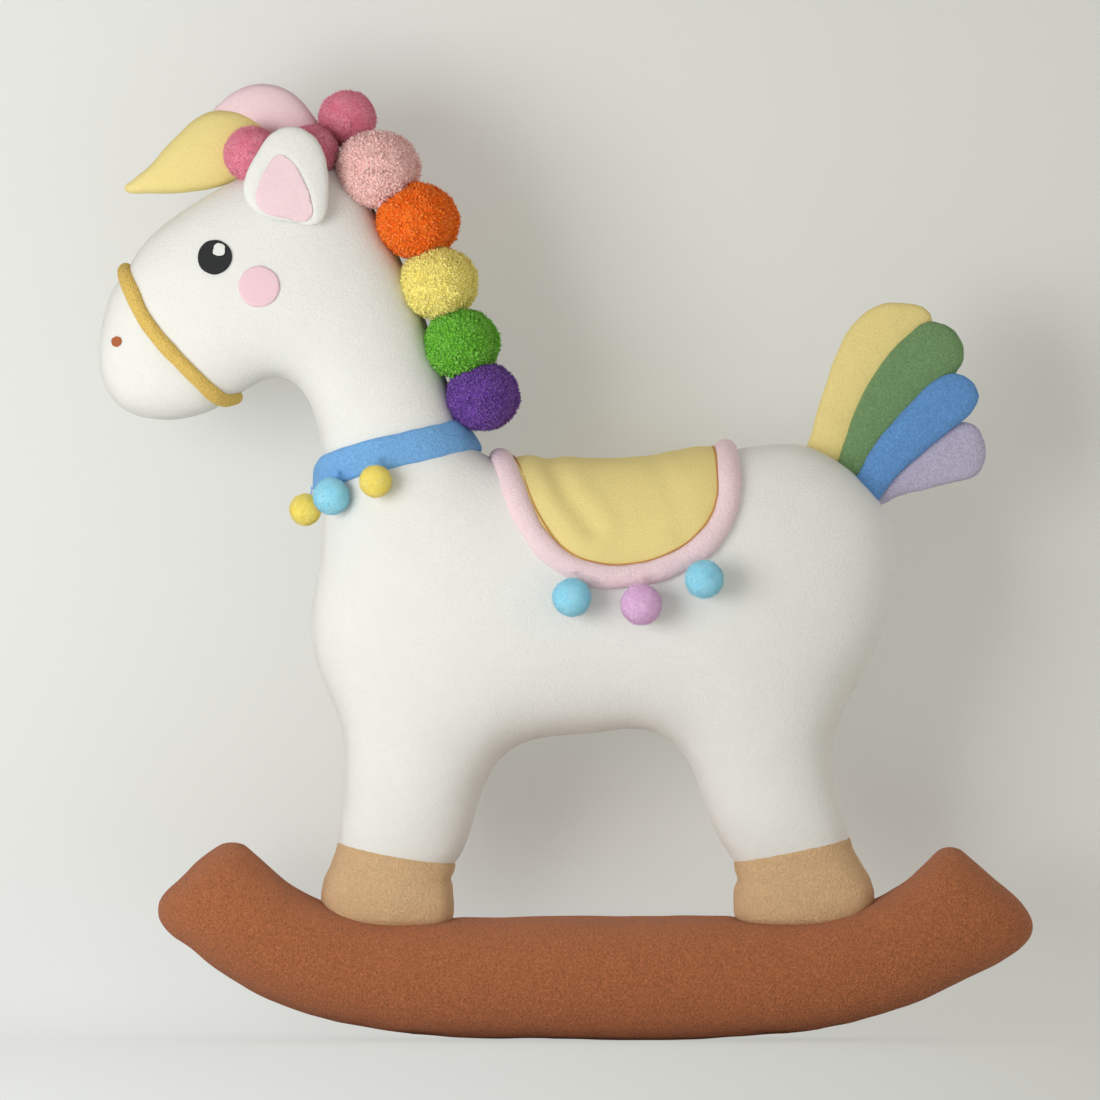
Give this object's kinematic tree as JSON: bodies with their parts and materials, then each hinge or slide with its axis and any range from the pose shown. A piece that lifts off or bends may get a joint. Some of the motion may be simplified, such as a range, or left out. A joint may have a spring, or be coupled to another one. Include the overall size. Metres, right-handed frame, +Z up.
{
  "type": "stuffed rocking horse",
  "caption": "Soft fleece rocking horse on a stuffed rocker, with saddle, pompom mane, petal tail and hanging pompoms.",
  "frame": {"origin": "middle of the rocker's flat underside, where the horse stands", "axes": "+X from nose to tail, +Y to the horse's right side, +Z up"},
  "size_m": [0.7243, 0.2376, 0.7405],
  "materials": {
    "white_fleece": "matte",
    "tan_fleece": "matte",
    "brown_fleece": "matte",
    "pale_yellow_fleece": "matte",
    "pale_pink_fleece": "matte",
    "blue_fleece": "matte",
    "mustard_fleece": "matte",
    "tail_green_fleece": "matte",
    "tail_lilac_fleece": "matte",
    "fibre_filling": "matte",
    "black_felt": "matte",
    "white_felt": "matte",
    "pink_felt": "matte",
    "brown_felt": "matte",
    "pink_yarn": "matte",
    "orange_yarn": "matte",
    "yellow_yarn": "matte",
    "green_yarn": "matte",
    "purple_yarn": "matte",
    "dark_pink_pile": "matte",
    "sky_pile": "matte",
    "yellow_pile": "matte",
    "lilac_pile": "matte",
    "white_thread": "matte"
  },
  "bodies": {
    "horse": {"rocker_cover": "brown_fleece", "front_hoof_cover": "tan_fleece", "rear_hoof_cover": "tan_fleece", "saddle_pad": "pale_yellow_fleece", "saddle_binding": "pale_pink_fleece", "collar": "blue_fleece", "noseband": "mustard_fleece", "eyes": "black_felt", "eye_highlights": "white_felt", "cheeks": "pink_felt", "nostrils": "brown_felt", "forelock_yellow": "pale_yellow_fleece", "forelock_pink": "pale_pink_fleece", "crown_pompoms_front": "dark_pink_pile", "crown_pompoms_rear": "dark_pink_pile", "crown_pompom_top": "dark_pink_pile", "saddle_stitches": "white_thread", "collar_stitches": "white_thread", "trunk_cover": "white_fleece", "trunk_filling": "fibre_filling", "neck_cover": "white_fleece", "neck_filling": "fibre_filling", "head_cover": "white_fleece", "head_filling": "fibre_filling", "front_leg_cover": "white_fleece", "front_leg_filling": "fibre_filling", "rear_leg_cover": "white_fleece", "rear_leg_filling": "fibre_filling", "rocker_filling": "fibre_filling", "mane_pompoms_pink": "pink_yarn", "mane_pompoms_orange": "orange_yarn", "mane_pompoms_yellow": "yellow_yarn", "mane_pompoms_green": "green_yarn", "mane_pompoms_purple": "purple_yarn"},
    "tail": {"tail_yellow": "pale_yellow_fleece", "tail_green": "tail_green_fleece", "tail_blue": "blue_fleece", "tail_lilac": "tail_lilac_fleece"},
    "left_ear": {"left_ear": "white_fleece", "left_ear_lining": "pale_pink_fleece"},
    "right_ear": {"right_ear": "white_fleece", "right_ear_lining": "pale_pink_fleece"},
    "saddle_pompom_left_front": {"saddle_pompom_left_front": "sky_pile"},
    "saddle_pompom_left_middle": {"saddle_pompom_left_middle": "lilac_pile"},
    "saddle_pompom_left_rear": {"saddle_pompom_left_rear": "sky_pile"},
    "saddle_pompom_right_front": {"saddle_pompom_right_front": "sky_pile"},
    "saddle_pompom_right_middle": {"saddle_pompom_right_middle": "lilac_pile"},
    "saddle_pompom_right_rear": {"saddle_pompom_right_rear": "sky_pile"},
    "collar_pompom_left_side": {"collar_pompom_left_side": "yellow_pile"},
    "collar_pompom_left_front": {"collar_pompom_left_front": "sky_pile"},
    "collar_pompom_middle": {"collar_pompom_middle": "yellow_pile"},
    "collar_pompom_right_front": {"collar_pompom_right_front": "sky_pile"},
    "collar_pompom_right_side": {"collar_pompom_right_side": "yellow_pile"}
  },
  "joints": [
    {"name": "left_ear_flop", "type": "hinge", "parent": "horse", "child": "left_ear", "pos_m": [-0.239, -0.062, 0.641], "axis": [1, 0, 0], "range_deg": [0, 40], "stiffness_Nm_per_rad": 0.02},
    {"name": "right_ear_flop", "type": "hinge", "parent": "horse", "child": "right_ear", "pos_m": [-0.239, 0.062, 0.641], "axis": [-1, 0, 0], "range_deg": [0, 40], "stiffness_Nm_per_rad": 0.02},
    {"name": "tail_wag", "type": "hinge", "parent": "horse", "child": "tail", "pos_m": [0.20105, 0, 0.45059], "axis": [0.7901, 0, -0.613], "range_deg": [-25, 25], "stiffness_Nm_per_rad": 0.1},
    {"name": "saddle_pompom_left_front_swing", "type": "hinge", "parent": "horse", "child": "saddle_pompom_left_front", "pos_m": [-0.02, -0.098, 0.3643], "axis": [0, -1, 0], "range_deg": [-15, 15]},
    {"name": "saddle_pompom_left_middle_swing", "type": "hinge", "parent": "horse", "child": "saddle_pompom_left_middle", "pos_m": [0.0335, -0.098, 0.3598], "axis": [0, -1, 0], "range_deg": [-15, 15]},
    {"name": "saddle_pompom_left_rear_swing", "type": "hinge", "parent": "horse", "child": "saddle_pompom_left_rear", "pos_m": [0.082, -0.098, 0.3783], "axis": [0, -1, 0], "range_deg": [-15, 15]},
    {"name": "saddle_pompom_right_front_swing", "type": "hinge", "parent": "horse", "child": "saddle_pompom_right_front", "pos_m": [-0.02, 0.098, 0.3643], "axis": [0, 1, 0], "range_deg": [-15, 15]},
    {"name": "saddle_pompom_right_middle_swing", "type": "hinge", "parent": "horse", "child": "saddle_pompom_right_middle", "pos_m": [0.0335, 0.098, 0.3598], "axis": [0, 1, 0], "range_deg": [-15, 15]},
    {"name": "saddle_pompom_right_rear_swing", "type": "hinge", "parent": "horse", "child": "saddle_pompom_right_rear", "pos_m": [0.082, 0.098, 0.3783], "axis": [0, 1, 0], "range_deg": [-15, 15]},
    {"name": "collar_pompom_left_side_swing", "type": "hinge", "parent": "horse", "child": "collar_pompom_left_side", "pos_m": [-0.1715, -0.073, 0.4515], "axis": [0, -1, 0], "range_deg": [-15, 15]},
    {"name": "collar_pompom_left_front_swing", "type": "hinge", "parent": "horse", "child": "collar_pompom_left_front", "pos_m": [-0.20246, -0.05346, 0.4417], "axis": [-0.7071, -0.7071, 0], "range_deg": [-15, 15]},
    {"name": "collar_pompom_middle_swing", "type": "hinge", "parent": "horse", "child": "collar_pompom_middle", "pos_m": [-0.2225, 0, 0.43], "axis": [-1, 0, 0], "range_deg": [-15, 15]},
    {"name": "collar_pompom_right_front_swing", "type": "hinge", "parent": "horse", "child": "collar_pompom_right_front", "pos_m": [-0.20246, 0.05346, 0.4417], "axis": [-0.7071, 0.7071, 0], "range_deg": [-15, 15]},
    {"name": "collar_pompom_right_side_swing", "type": "hinge", "parent": "horse", "child": "collar_pompom_right_side", "pos_m": [-0.1715, 0.073, 0.4515], "axis": [0, 1, 0], "range_deg": [-15, 15]}
  ]
}
